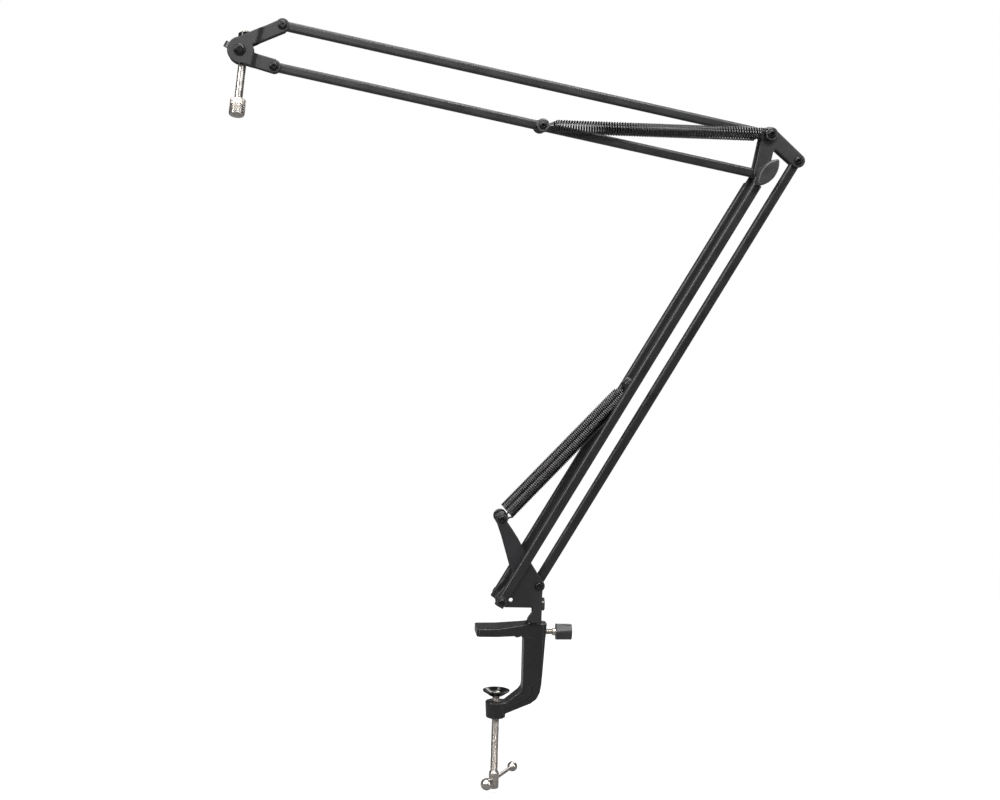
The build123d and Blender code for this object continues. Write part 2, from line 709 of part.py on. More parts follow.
class Spring:
    """Spring from pin p to pin q at height y; its coil keeps start and end clear of the
    pins and stands offset to the side of the line between them."""

    def __init__(self, p, q, y, start, end, offset=0.0):
        self.q, self.y, self.start, self.end, self.offset = q, y, start, end, offset
        self.p = p
        dx, dz = q[0] - p[0], q[1] - p[1]
        self.length = hypot(dx, dz)
        self.axis = (dx / self.length, dz / self.length)

    def rod(self, r, length, s, across=0.0, sign=1):
        """Cylinder along the spring (sign 1) or back along it (-1), from s past p."""
        x, z = locate(self.p, self.axis, s, across)
        return rod(r, length, (x, self.y, z), (sign * self.axis[0], 0, sign * self.axis[1]))

    def loop(self, p):
        return Solid.make_torus(LOOP_R, WIRE, Plane(origin=(p[0], self.y, p[1]), z_dir=(0, 1, 0)))

    def body(self):
        """Coil with its loop at p."""
        coil_len = self.length - self.start - (self.end + TURN + 0.05)
        coil = (self.rod(COIL_R, coil_len, self.start, self.offset)
                - self.rod(COIL_IN, self.length, self.start + 1.8, self.offset))
        shank = self.rod(WIRE, self.start - LOOP_R + 1.0, SHANK_AT)
        return one(coil + shank + self.loop(self.p))

    def end_turn(self):
        s = self.length - (self.end + TURN)
        return one(self.rod(COIL_R, TURN, s, self.offset)
                   - self.rod(COIL_IN, TURN + 2, s - 1, self.offset))

    def end_hook(self):
        """Loop round the pin at q with a shank that runs back inside the coil."""
        shank = self.rod(WIRE - 0.06, HOOK_REACH, self.length - SHANK_AT, sign=-1)
        return one(self.loop(self.q) + shank)


SPRINGS = {
    "lower": [Spring(HORN, LOWER_PIN, -LOWER_SPRING_Y, 8.0, 9.8, -1.8),
              Spring(HORN, LOWER_PIN, LOWER_SPRING_Y, 8.0, 9.8, 0.9)],
    "upper": [Spring(ELBOW_TOP, UPPER_PIN, side * UPPER_SPRING_Y, 10.0, 10.2)
              for side in (-1, 1)]}


def spring_piece(pair, build):
    return lambda: Compound([build(s) for s in pair])


for level, pair in SPRINGS.items():
    PIECES[level + "_springs"] = spring_piece(pair, Spring.body)
    PIECES[level + "_spring_end_turns"] = spring_piece(pair, Spring.end_turn)
    PIECES[level + "_spring_end_hooks"] = spring_piece(pair, Spring.end_hook)

# ---------------------------------------------------------------- head
HEAD_OUTLINE = [         # X, Z from the swivel axis: limbs with straight flanks, blunt crotch
    (-0.6, 12.7), (4.8, 15.4), (38.85, 31.4), (44.7, 19.6), (10.4, 4.4), (9.9, -0.3),
    (13.0, -2.1), (35.9, -7.9), (32.1, -21.2), (2.6, -13.2), (0.6, -0.3)]
BEND_AT = shift(NOSE, (15.6, 0))
BEND_NORMAL = (0.977, -0.211)    # across the bend line, towards the limbs
JOGGLE = [               # distance past BEND_AT, Y: section of the joggled sheet
    (-60, NOSE_IN), (-2.6, NOSE_IN), (2.2, HEAD_IN), (90, HEAD_IN),
    (90, HEAD_OUT), (3.1, HEAD_OUT), (-1.7, NOSE_OUT), (-60, NOSE_OUT)]


def head_plate():
    """Far head plate: its nose stands wider than the limbs, bent along one slanted line."""
    outline = (cyl_y(shift(NOSE, (0.6, -0.3)), 13.1, 4, 16) + cyl_y(HEAD_TOP, 6.6, 4, 16)
               + cyl_y(HEAD_LOW, 6.7, 4, 16))
    outline = outline + prism_y([shift(NOSE, d) for d in HEAD_OUTLINE], 4, 16)
    section = []
    for s, y in JOGGLE:
        x, z = locate(BEND_AT, BEND_NORMAL, s, -80)
        section.append((x, y, z))
    plate = outline & sweep(section, (-BEND_NORMAL[1] * 160, 0, BEND_NORMAL[0] * 160))
    for p, r in ((NOSE, M6 + RUN), (HEAD_TOP, M5 + FIT), (HEAD_LOW, M5 + FIT)):
        plate = plate - cyl_y(p, r, 0, 20)
    return one(plate)


@piece
def head_plate_near():
    return one(mirror_y(head_plate()))


@piece
def head_plate_far():
    return head_plate()


@piece
def head_pivot_bolts():
    return Compound([plate_bolt(p, HEAD_OUT, 4.6, 2.9) for p in (HEAD_TOP, HEAD_LOW)])


@piece
def head_pivot_nuts():
    return Compound([plate_nut(p, HEAD_OUT) for p in (HEAD_TOP, HEAD_LOW)])


MIC_R = 4.0              # microphone pin radius
LEAN_X, LEAN_Z = unit(4.6)[::-1]     # lean of the pin in the arm plane
TIP_COS, TIP_SIN = unit(20.0)        # tip of its lower end towards -Y
MIC_DIR = (-LEAN_X * TIP_COS, -TIP_SIN, -LEAN_Z * TIP_COS)
BLOCK_Y = NOSE_IN - 0.1  # half width of the swivel block


def mic_point(s):
    """Point on the microphone pin's axis, s down from the swivel axis' level."""
    return NOSE[0] + 3.6 + MIC_DIR[0] * s, MIC_DIR[1] * s, NOSE[1] + MIC_DIR[2] * s


def mic_rod(r, s0, s1):
    return rod(r, s1 - s0, mic_point(s0), MIC_DIR)


@piece
def swivel_block():
    """Drum with a collar round the pin above it, and the leaning bore."""
    block = cyl_y(NOSE, 11.4, -BLOCK_Y, BLOCK_Y)
    collar = mic_rod(7.2, -17.6, 0)
    block = block + (collar & Pos(NOSE[0], 0, NOSE[1]) * Box(60, 2 * BLOCK_Y, 60))
    block = block - mic_rod(MIC_R + RUN, -30, 30)
    block = block - cyl_y(NOSE, M6, -12, -5.6) - cyl_y(NOSE, M6 + RUN, 5.6, 12)
    return one(block)


@piece
def head_bolt():
    top, face = -(NOSE_OUT + 3.4), -(NOSE_OUT + 0.1)
    return one(domed_disc(NOSE, 6.0, top, face, top, 2.5) + cyl_y(NOSE, M6 - FIT, face, -6.0))


WING_OUTLINE = [         # distance from the screw axis, height above WING_Y
    (2.0, 0.0), (9.0, 1.0), (16.6, 4.5), (18.8, 8.5),
    (17.8, 12.5), (12.0, 13.0), (6.0, 8.0), (2.0, 5.0)]
WING_Y = NOSE_OUT + 0.6
WING_DIR = unit(152.0)
WING_THICK = 6.4


def wing(sign):
    points = []
    for s, height in WING_OUTLINE:
        x, z = locate(NOSE, WING_DIR, sign * s, -WING_THICK / 2)
        points.append((x, WING_Y + height, z))
    return sweep(points, (-WING_DIR[1] * WING_THICK, 0, WING_DIR[0] * WING_THICK))


@piece
def wing_screw():
    hub = cone(7.2, 5.0, 6.0, (NOSE[0], NOSE_OUT + 0.2, NOSE[1]), (0, 1, 0))
    return cyl_y(NOSE, M6, 6.2, NOSE_OUT + 6.0) + hub + wing(1) + wing(-1)


# ---------------------------------------------------------------- microphone pin
THREAD_R = 7.94          # 5/8 inch microphone thread, outside radius
ADAPTOR_END = 69.6       # distances along the pin's axis
ADAPTOR_TOP = ADAPTOR_END - 16.6
THREAD_TOP = ADAPTOR_END - 9.0
PIN_TOP = -20.8
PIN_END = ADAPTOR_END - 4


@piece
def mic_pin():
    pin = mic_rod(MIC_R, PIN_TOP, PIN_END)
    return one(pin.chamfer(0.5, None, circles(pin)))


def chamfer_rim(shape, size, s):
    """Chamfer the circular edge centred at s on the pin's axis."""
    centre = Vector(*mic_point(s))
    rim = circles(shape, lambda e: (centre - e.arc_center).length < 0.5)
    return shape.chamfer(size, None, rim)


@piece
def thread_adaptor():
    thread = chamfer_rim(mic_rod(THREAD_R, THREAD_TOP, ADAPTOR_END), 0.6, ADAPTOR_END)
    shoulder = chamfer_rim(mic_rod(THREAD_R - 0.15, ADAPTOR_TOP, THREAD_TOP), 0.8, ADAPTOR_TOP)
    return one(thread + shoulder - mic_rod(MIC_R + 0.01, ADAPTOR_TOP - 2, PIN_END + FIT))


# ---------------------------------------------------------------- export
os.makedirs("parts", exist_ok=True)
for name, build in PIECES.items():
    export_step(build(), "parts/" + name + ".step")
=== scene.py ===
import json
import math
import bpy
import numpy as np
from mathutils import Matrix, Vector


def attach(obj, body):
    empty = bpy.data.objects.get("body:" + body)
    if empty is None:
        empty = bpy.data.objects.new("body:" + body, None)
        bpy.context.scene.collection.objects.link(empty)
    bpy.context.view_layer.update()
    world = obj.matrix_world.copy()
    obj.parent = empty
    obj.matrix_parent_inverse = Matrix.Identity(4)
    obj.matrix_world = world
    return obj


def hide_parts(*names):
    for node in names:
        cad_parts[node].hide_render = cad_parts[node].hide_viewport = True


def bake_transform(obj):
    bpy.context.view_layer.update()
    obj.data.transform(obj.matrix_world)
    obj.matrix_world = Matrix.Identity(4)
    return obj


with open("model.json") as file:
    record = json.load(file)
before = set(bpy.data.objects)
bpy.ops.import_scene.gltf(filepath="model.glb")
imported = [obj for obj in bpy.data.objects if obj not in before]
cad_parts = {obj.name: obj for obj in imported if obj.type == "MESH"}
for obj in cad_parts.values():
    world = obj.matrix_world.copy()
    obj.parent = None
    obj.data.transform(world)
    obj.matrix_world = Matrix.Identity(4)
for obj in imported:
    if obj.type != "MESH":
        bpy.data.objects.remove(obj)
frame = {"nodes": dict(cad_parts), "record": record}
scene = bpy.context.scene


def record_bounds():
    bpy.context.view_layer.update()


record_bounds()


# ------------------------------------------------------------------ dimensions (mm, degrees)
def polar(start, distance, angle):
    """Point (x, z) at a distance and angle from another."""
    return (start[0] + distance * math.cos(math.radians(angle)),
            start[1] + distance * math.sin(math.radians(angle)))


MM = 0.001                      # metres in one millimetre

LOWER_ANGLE = 60.08             # arm angles, from +X toward +Z
UPPER_ANGLE = 169.60
ARM_FOOT = (3.4, 38.8)          # arm points are (x, z)
ELBOW = polar(ARM_FOOT, 514.2, LOWER_ANGLE)
ARM_TIP = polar(ELBOW, 507.3, UPPER_ANGLE)

WIRE_RADIUS = 0.9
LOOP_RADIUS = 6.2               # centreline of the loops at the spring ends
LOOP_STEPS = 48
JOIN_STEPS = 12                 # steps in the curve that leaves a loop
COIL_RADIUS = 5.5               # centreline of the coil
TIP_RADIUS = 3.4                # centreline of the last turn, round the hook's shank
TAPER_TURNS = 2.2               # turns over which the coil narrows to the tip
CLOSED_PITCH = 1.95             # pitch of the tight turns at both ends
FIRST_CLOSED_TURNS = 1.5
LAST_CLOSED_TURNS = 2.5
HOOK_NECK = 2.6                 # from the hook's loop to the start of its straight shank
HOOK_REACH = 10.0               # from the hook's loop to the end of its shank

# first, last: centres of the end loops; y: distance from the middle plane
# start_gap, end_gap: from those centres to the coil; shift: sideways offset of the coil
SPRINGS = {
    "lower": dict(first=(2.2, 123.4), last=polar(ARM_FOOT, 259.2, LOWER_ANGLE), y=9.4,
                  start_gap=8.0, end_gap=9.8, pitch=2.12, shift={"near": -1.8, "far": 0.9}),
    "upper": dict(first=(ELBOW[0] + 7.8, ELBOW[1] + 41.0),
                  last=polar(ELBOW, 231.7, UPPER_ANGLE), y=15.0,
                  start_gap=10.0, end_gap=10.2, pitch=2.71, shift={"near": 0.0, "far": 0.0}),
}

CLAMP_X = 2.7                   # the clamp screw stands along Z at this x

POST_TOP = (ARM_TIP[0] - 30.4, 0.0, ARM_TIP[1] + 14.8)
POST_LENGTH = 69.6
POST_LEAN = math.radians(4.6)   # toward -X
POST_TIP = math.radians(20.0)   # toward -Y
POST_AXIS = (-math.sin(POST_LEAN) * math.cos(POST_TIP),
             -math.sin(POST_TIP),
             -math.cos(POST_LEAN) * math.cos(POST_TIP))


# ------------------------------------------------------------------ shader nodes
class Nodes:
    """Node tree of a material or world. Helpers return output sockets; add returns a node."""

    def __init__(self, owner):
        owner.use_nodes = True
        self.owner = owner
        self.tree = owner.node_tree
        self.tree.nodes.clear()
        self.coords = self.add("TexCoord")

    def add(self, kind, inputs=None, **settings):
        """Make a node; each input takes a value, a socket or a node's first output."""
        node = self.tree.nodes.new("ShaderNode" + kind)
        for key, value in settings.items():
            setattr(node, key, value)
        for key, value in (inputs or {}).items():
            if isinstance(value, bpy.types.Node):
                value = value.outputs[0]
            if isinstance(value, bpy.types.NodeSocket):
                self.tree.links.new(value, node.inputs[key])
            else:
                node.inputs[key].default_value = value
        return node

    def noise(self, scale, detail=3.0, roughness=0.6, vector=None):
        return self.add("TexNoise", {
            "Scale": scale, "Detail": detail, "Roughness": roughness,
            "Vector": vector or self.coords.outputs["Object"]}).outputs[0]

    def remap(self, value, source, to=(0.0, 1.0)):
        return self.add("MapRange", {
            "From Min": source[0], "From Max": source[1],
            "To Min": to[0], "To Max": to[1], "Value": value}).outputs[0]

    def multiply(self, a, b):
        return self.add("Math", {0: a, 1: b}, operation="MULTIPLY").outputs[0]

    def sum(self, a, b):
        return self.add("Math", {0: a, 1: b}, operation="ADD").outputs[0]

    def mix(self, factor, *colors):
        first, second = [(*c, 1.0) if isinstance(c, tuple) else c for c in colors]
        return self.add("Mix", {0: factor, 6: first, 7: second}, data_type="RGBA").outputs[2]

    def color_ramp(self, factor, first, last, middle=None):
        ramp = self.add("ValToRGB", {0: factor})
        elements = ramp.color_ramp.elements
        elements[0].color = first
        elements[1].color = last
        if middle:
            elements.new(0.5).color = middle
        return ramp.outputs[0]

    def bump(self, height, strength, distance, normal=None):
        inputs = {"Strength": strength, "Distance": distance, "Height": height}
        if normal is not None:
            inputs["Normal"] = normal
        return self.add("Bump", inputs).outputs[0]

    def rounded(self, radius):
        """Normal that rounds off edges."""
        return self.add("Bevel", {"Radius": radius}, samples=8).outputs[0]

    def edge_mask(self, radius):
        """1 on edges, 0 on flats."""
        bevel = self.add("Bevel", {"Radius": radius}, samples=4)
        geometry = self.add("NewGeometry")
        dot = self.add("VectorMath", {0: bevel, 1: geometry.outputs["Normal"]},
                       operation="DOT_PRODUCT")
        return self.remap(dot.outputs["Value"], source=(0.999, 0.93))

    def finish(self, inputs):
        """Close a material with a Principled surface."""
        self.add("OutputMaterial", {0: self.add("BsdfPrincipled", inputs)})
        return self.owner


def scaled(color, factor):
    return tuple(value * factor for value in color)


# ------------------------------------------------------------------ materials
def paint(name, base, light, roughness, grain, grain_bump, peel_bump, edge_wear_and_highlight, edge_radius,
          peel=260.0, specular=0.5):
    """Grained paint over an orange-peel swell; the pale colour shows in specks, and on the edges
    as paint rubbed thin together with a painted highlight.
    """
    n = Nodes(bpy.data.materials.new(name))
    fine = n.noise(grain, detail=2.0)
    swell = n.noise(peel, detail=2.0, roughness=0.5)
    patches = n.noise(38.0)
    specks = n.remap(n.noise(1150.0, detail=1.0, roughness=0.4), source=(0.66, 0.74))
    color = n.mix(n.remap(patches, source=(0.3, 0.7)), base, scaled(base, 1.35))
    color = n.mix(n.multiply(specks, 0.22), color, light)
    # the edges take the pale colour: partly paint rubbed thin, partly a painted highlight where
    # the edges would catch the light
    worn_and_highlit_edges = n.multiply(n.edge_mask(radius=0.0006),
                      n.remap(n.noise(420.0), source=(0.35, 0.7), to=(0.25 * edge_wear_and_highlight, edge_wear_and_highlight)))
    color = n.mix(worn_and_highlit_edges, color, light)
    rough = n.remap(patches, source=(0.25, 0.75), to=(roughness - 0.05, roughness + 0.07))
    fine_rough = n.remap(fine, source=(0.3, 0.7), to=(-0.5, 0.5))
    rough = n.sum(rough, n.multiply(fine_rough, 0.06))
    normal = n.bump(fine, grain_bump, distance=0.00006, normal=n.rounded(edge_radius))
    normal = n.bump(swell, peel_bump, distance=0.00025, normal=normal)
    return n.finish({"Base Color": color, "Roughness": rough, "Normal": normal,
                     "Specular IOR Level": specular, "Coat Roughness": 0.18})


def metal(name, base, dark, roughness, scratch, bump, tint=None, smudge=0.5, edge=0.0,
          soft=True):
    """Metal with smudges of dark; scratch is the noise scale along x, y, z."""
    n = Nodes(bpy.data.materials.new(name))
    stretched = n.add("Mapping", {"Scale": scratch, "Vector": n.coords.outputs["Object"]})
    scratches = n.noise(1.0, vector=stretched.outputs[0])
    patches = n.noise(120.0)
    color = n.mix(n.multiply(n.remap(patches, source=(0.35, 0.72)), smudge), base, dark)
    if tint is not None:
        stain = n.remap(n.noise(300.0, detail=2.0, roughness=0.55), source=(0.5, 0.75))
        color = n.mix(n.multiply(stain, 0.35), color, tint)
    # edges lightened toward a paler base: partly a painted highlight along the edges, partly
    # rubbed metal
    if edge:
        color = n.mix(n.multiply(n.edge_mask(radius=0.0005), edge), color, scaled(base, 1.6))
    rough = n.sum(
        n.remap(scratches, source=(0.3, 0.7), to=(roughness - 0.05, roughness + 0.08)),
        n.multiply(n.remap(patches, source=(0.4, 0.8)), 0.08))
    normal = n.bump(scratches, bump, distance=0.00005,
                    normal=n.rounded(0.0003) if soft else None)
    return n.finish({"Base Color": color, "Metallic": 1.0, "Roughness": rough,
                     "Normal": normal})


def plastic(name, base, roughness, bump):
    """Fine-grained plastic, paler on its edges: partly rubbed plastic, partly a painted
    highlight.
    """
    n = Nodes(bpy.data.materials.new(name))
    fine = n.noise(1700.0, detail=2.0, roughness=0.7)
    patches = n.noise(70.0)
    color = n.mix(n.remap(patches, source=(0.3, 0.7)), base, scaled(base, 1.4))
    # paler edges: partly a painted highlight along the edges, partly rubbing
    color = n.mix(n.multiply(n.edge_mask(radius=0.0008), 0.5), color, (0.06, 0.06, 0.062))
    rough = n.remap(patches, source=(0.25, 0.75), to=(roughness - 0.05, roughness + 0.08))
    normal = n.bump(fine, bump, distance=0.00008, normal=n.rounded(0.0009))
    return n.finish({"Base Color": color, "Roughness": rough, "Normal": normal})


MATERIALS = {
    "arm_tube": paint(
        "tube_powder_coat", base=(0.0085, 0.0085, 0.0092), light=(0.03, 0.03, 0.032),
        roughness=0.30, grain=1500.0, grain_bump=0.03, peel_bump=0.015, edge_wear_and_highlight=0.08,
        edge_radius=0.0026),
    "sheet": paint(
        "sheet_powder_coat", base=(0.0095, 0.0095, 0.0106), light=(0.06, 0.06, 0.065),
        roughness=0.40, grain=1500.0, grain_bump=0.05, peel_bump=0.03, edge_wear_and_highlight=0.4,
        edge_radius=0.0018),
    # the casting's strong pale edges are painted highlight lines along its ribs, with some
    # rubbed paint
    "casting": paint(
        "casting_paint", base=(0.0045, 0.0045, 0.0048), light=(0.15, 0.15, 0.155),
        roughness=0.27, grain=1200.0, grain_bump=0.06, peel=300.0, peel_bump=0.05,
        edge_wear_and_highlight=0.95, edge_radius=0.0013),
    "black_fastener": paint(
        "black_oxide", base=(0.0035, 0.0035, 0.0038), light=(0.03, 0.03, 0.032),
        roughness=0.13, grain=1500.0, grain_bump=0.02, peel=500.0, peel_bump=0.015,
        edge_wear_and_highlight=0.15, edge_radius=0.0003, specular=0.32),
    "spring_wire": metal(
        "oiled_spring_wire", base=(0.075, 0.073, 0.075), dark=(0.035, 0.034, 0.036),
        roughness=0.17, scratch=(500.0, 500.0, 500.0), bump=0.02),
    "bright_steel": metal(
        "bright_nickel", base=(0.50, 0.47, 0.44), dark=(0.40, 0.37, 0.33),
        tint=(0.44, 0.38, 0.32), roughness=0.22, scratch=(90.0, 90.0, 90.0), bump=0.001,
        smudge=0.2, soft=False),
    "spacer_steel": metal(
        "dark_zinc", base=(0.13, 0.125, 0.12), dark=(0.06, 0.06, 0.062),
        roughness=0.30, scratch=(500.0, 2600.0, 500.0), bump=0.10, edge=0.5),
    "bush_plastic": plastic("nylon", base=(0.016, 0.016, 0.016), roughness=0.5, bump=0.35),
    "knob_plastic": plastic(
        "knob_plastic", base=(0.018, 0.018, 0.019), roughness=0.34, bump=0.2),
}

slot_of = {part["node"]: part["material_slot"] for part in frame["record"]["subparts"]}
for name, piece in frame["nodes"].items():
    piece.data.materials.clear()
    piece.data.materials.append(MATERIALS[slot_of[name]])


# ------------------------------------------------------------------ meshes from rings
def ring_mesh(name, rings, material):
    """Smooth closed skin over equal rings of points (mm), capped at both ends."""
    count = len(rings[0])
    faces = []
    for i in range(len(rings) - 1):
        for j in range(count):
            k = (j + 1) % count
            faces.append((i * count + j, i * count + k,
                          (i + 1) * count + k, (i + 1) * count + j))
    faces.append(tuple(range(count - 1, -1, -1)))
    faces.append(tuple((len(rings) - 1) * count + j for j in range(count)))
    verts = [tuple(float(c) * MM for c in point) for ring in rings for point in ring]
    mesh = bpy.data.meshes.new(name)
    mesh.from_pydata(verts, [], faces)
    mesh.update()
    for polygon in mesh.polygons:
        polygon.use_smooth = True
    piece = bpy.data.objects.new(name, mesh)
    scene.collection.objects.link(piece)
    mesh.materials.append(material)
    return piece


def sweep_wire(name, path, segments):
    """Round spring wire along a dense path, with twist-free rings and domed ends."""
    points = np.array(path, float)
    tangents = np.gradient(points, axis=0)
    tangents /= np.linalg.norm(tangents, axis=1)[:, None]
    # any direction that is not parallel to the wire serves to start the rings
    normal = np.cross(tangents[0], (0.31, 0.87, 0.22))
    normals = [normal / np.linalg.norm(normal)]
    for tangent in tangents[1:]:
        normal = normals[-1] - tangent * np.dot(normals[-1], tangent)
        normals.append(normal / np.linalg.norm(normal))
    normals = np.array(normals)
    binormals = np.cross(tangents, normals)
    angles = np.linspace(0, 2 * math.pi, segments, endpoint=False)

    def ring(index, radius, forward=0.0):
        centre = points[index] + tangents[index] * forward
        return [centre + radius * (math.cos(a) * normals[index] + math.sin(a) * binormals[index])
                for a in angles]

    dome_height, dome_radius = WIRE_RADIUS * 0.45, WIRE_RADIUS * 0.55
    last = len(points) - 1
    rings = [ring(0, dome_radius, -dome_height)]
    for i in range(len(points)):
        rings.append(ring(i, WIRE_RADIUS if 0 < i < last else WIRE_RADIUS * 0.93))
    rings.append(ring(last, dome_radius, dome_height))
    return ring_mesh(name, rings, MATERIALS["spring_wire"])


# ------------------------------------------------------------------ springs
SIDEWAYS = np.array((0.0, 1.0, 0.0))


def spring_axes(first, last):
    """Length, direction from first to last, and the direction across it in the XZ plane."""
    dx, dz = last[0] - first[0], last[1] - first[1]
    length = math.hypot(dx, dz)
    return (length, np.array((dx / length, 0.0, dz / length)),
            np.array((-dz / length, 0.0, dx / length)))


def end_loop(centre, along, across, start, turn, side_start=0.0, side_travel=0.0):
    """Loop turning from the start angle (degrees) while it drifts along Y."""
    points = []
    for i in range(LOOP_STEPS + 1):
        angle = math.radians(start + turn * i / LOOP_STEPS)
        points.append(centre + along * LOOP_RADIUS * math.cos(angle)
                      + across * LOOP_RADIUS * math.sin(angle)
                      + SIDEWAYS * (side_start + side_travel * i / LOOP_STEPS))
    return points


def join(loop, end, end_tangent):
    """Inner points of a Hermite curve from the loop's last point to end."""
    start = loop[-1]
    tangent = start - loop[-2]
    tangent = tangent / np.linalg.norm(tangent) * 9.0
    points = []
    for i in range(1, JOIN_STEPS):
        t = i / JOIN_STEPS
        points.append((2 * t**3 - 3 * t**2 + 1) * start + (t**3 - 2 * t**2 + t) * tangent
                      + (-2 * t**3 + 3 * t**2) * end + (t**3 - t**2) * end_tangent)
    return points


def spring_coil(part, side, hand, first, last, y, start_gap, end_gap, pitch, shift):
    """Coil with a full loop at first; its last turns narrow round the hook's shank."""
    length, along, across = spring_axes(first, last)
    origin = np.array((first[0], y, first[1]))
    start = start_gap + WIRE_RADIUS
    end = length - end_gap - WIRE_RADIUS * 0.6
    turns = (end - start - LAST_CLOSED_TURNS * CLOSED_PITCH) / pitch + LAST_CLOSED_TURNS
    steps = 22     # per turn
    start_angle = math.pi

    def coil_point(distance, offset, radius, angle):
        return (origin + along * distance + across * (offset + radius * math.cos(angle))
                + SIDEWAYS * hand * radius * math.sin(angle))

    coil = []
    distance = start
    for i in range(int(turns * steps) + 1):
        turn = i / steps
        left = turns - turn
        closed = left <= LAST_CLOSED_TURNS or turn < FIRST_CLOSED_TURNS
        taper = min(1.0, left / TAPER_TURNS)
        radius = COIL_RADIUS - (COIL_RADIUS - TIP_RADIUS) * (1 - taper) ** 1.3
        angle = start_angle + 2 * math.pi * turn
        coil.append(coil_point(distance, shift * taper, radius, angle))
        distance += (CLOSED_PITCH if closed else pitch) / steps

    loop = end_loop(origin, along, across, start=-32, turn=332,
                    side_start=-0.6, side_travel=0.9)
    coil_tangent = (-across * math.sin(start_angle)
                    + SIDEWAYS * hand * math.cos(start_angle)) * 8.0 + along * 0.6
    path = loop + join(loop, coil_point(start, shift, COIL_RADIUS, start_angle), coil_tangent)

    # stretch the coil along its axis so it ends where it should
    stretch = (end - start) / (distance - start)
    for point in coil:
        reached = np.dot(point - origin, along)
        path.append(point + along * ((reached - start) * stretch + start - reached))

    coil = sweep_wire(f"{part}_coil_{side}", path, 10)
    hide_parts(f"{part}_springs")
    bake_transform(coil)


def spring_hook(part, side, first, last, y):
    """Loop at last, with a straight shank that runs back into the narrowed coil."""
    _, along, across = spring_axes(first, last)
    centre = np.array((last[0], y, last[1]))
    loop = end_loop(centre, along, across, start=210, turn=258)
    neck = centre - along * (LOOP_RADIUS + HOOK_NECK)
    end = centre - along * (LOOP_RADIUS + HOOK_REACH)
    shank = [neck + (end - neck) * i / 10 for i in range(11)]
    path = loop + join(loop, neck, -along * 6.0) + shank
    hook = sweep_wire(f"{part}_hook_{side}", path, 10)
    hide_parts(f"{part}_spring_end_hooks")
    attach(hook, f"{part}_spring_hooks")


for side, sign in (("near", -1), ("far", 1)):
    for part, spring in SPRINGS.items():
        own = dict(spring, y=sign * spring["y"], shift=spring["shift"][side])
        spring_coil(part, side, sign, **own)
        spring_hook(part, side, own["first"], own["last"], own["y"])
# the end turns are part of the coils above
for part in SPRINGS:
    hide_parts(part + "_spring_end_turns")


# ------------------------------------------------------------------ turned steel parts
def lathe(name, profile, origin, axis, body, segments, radial=None, replaces=None):
    """Turned part from (radius, distance along axis) pairs, riding on a body.

    radial(angle, distance, radius) may vary the radius.
    """
    z = Vector(axis).normalized()
    x = z.orthogonal().normalized()
    y = z.cross(x)
    rings = []
    for radius, distance in profile:
        ring = []
        for j in range(segments):
            angle = 2 * math.pi * j / segments
            r = radial(angle, distance, radius) if radial else radius
            ring.append(Vector(origin) + z * distance
                        + (x * math.cos(angle) + y * math.sin(angle)) * max(r, 0.0005))
        rings.append(ring)
    piece = ring_mesh(name, rings, MATERIALS["bright_steel"])
    piece.data.validate()
    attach(piece, body)
    if replaces:
        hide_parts(replaces)


def thread(name, radius, pitch, depth, start, end, rows_per_turn, **placing):
    """Helical V thread between two distances, fading out at both ends."""
    rows = int((end - start) / pitch * rows_per_turn)
    root = radius - depth - 0.02
    profile = [(root, start)]
    profile += [(radius, start + (end - start) * i / rows) for i in range(rows + 1)]
    profile += [(root, end)]

    def groove(angle, distance, ring_radius):
        if ring_radius < radius - depth * 0.5:
            return ring_radius
        phase = ((distance - start) / pitch - angle / (2 * math.pi)) % 1.0
        # a triangle wave with its crest and root cut flat
        height = min(max((abs(phase * 2 - 1) - 0.12) / 0.76, 0.0), 1.0)
        fade = min(1.0, (distance - start) / (pitch * 0.8), (end - distance) / (pitch * 0.8))
        return radius - depth * (1 - height * fade)

    lathe(name, profile, radial=groove, **placing)


# clamp screw: thread, plain head below it and nose at its top
thread("clamp_screw_thread", radius=4.0, pitch=1.25, depth=0.62, start=0.0, end=80.2,
       rows_per_turn=12, segments=48,
       origin=(CLAMP_X, 0, -147.0), axis=(0, 0, 1), body="screw", replaces="clamp_screw")
HEAD_PROFILE = [                # radius, z
    (0, -165.6), (4.3, -165.6), (4.9, -165.3), (5.3, -164.6), (5.3, -149.2),
    (5.2, -148.6), (4.7, -147.6), (4.1, -146.9), (3.3, -146.4), (0, -146.4)]
NOSE_PROFILE = [                # radius, z
    (0, -66.9), (3.0, -66.9), (3.0, -63.4), (4.3, -63.3), (4.3, -62.6),
    (3.9, -61.9), (3.0, -61.4), (1.6, -61.25), (0, -61.2)]
for name, profile, segments in (("clamp_screw_head", HEAD_PROFILE, 64),
                                ("clamp_screw_nose", NOSE_PROFILE, 48)):
    lathe(name, profile, (CLAMP_X, 0, 0), (0, 0, 1), "screw", segments)

# lock screw, along X
thread("lock_screw_thread", radius=3.0, pitch=1.0, depth=0.5, start=0.0, end=17.0,
       rows_per_turn=10, segments=36,
       origin=(45.3, 0, 2.4), axis=(1, 0, 0), body="lock", replaces="lock_screw")

# microphone post: knurled collar, thread and hollowed end, measured down the post
post = dict(origin=POST_TOP, axis=POST_AXIS, body="mic_post")
COLLAR_RADIUS = 7.79
THREAD_START = POST_LENGTH - 9.0


def knurl(angle, distance, radius):
    """Crossed ridges on the widest part of the collar."""
    if radius < 7.3 or not (POST_LENGTH - 15.6 < distance < POST_LENGTH - 9.8):
        return radius
    ridge = max(math.sin(44 * angle + distance * 5.2), math.sin(44 * angle - distance * 5.2))
    return radius - 0.16 + 0.16 * ridge


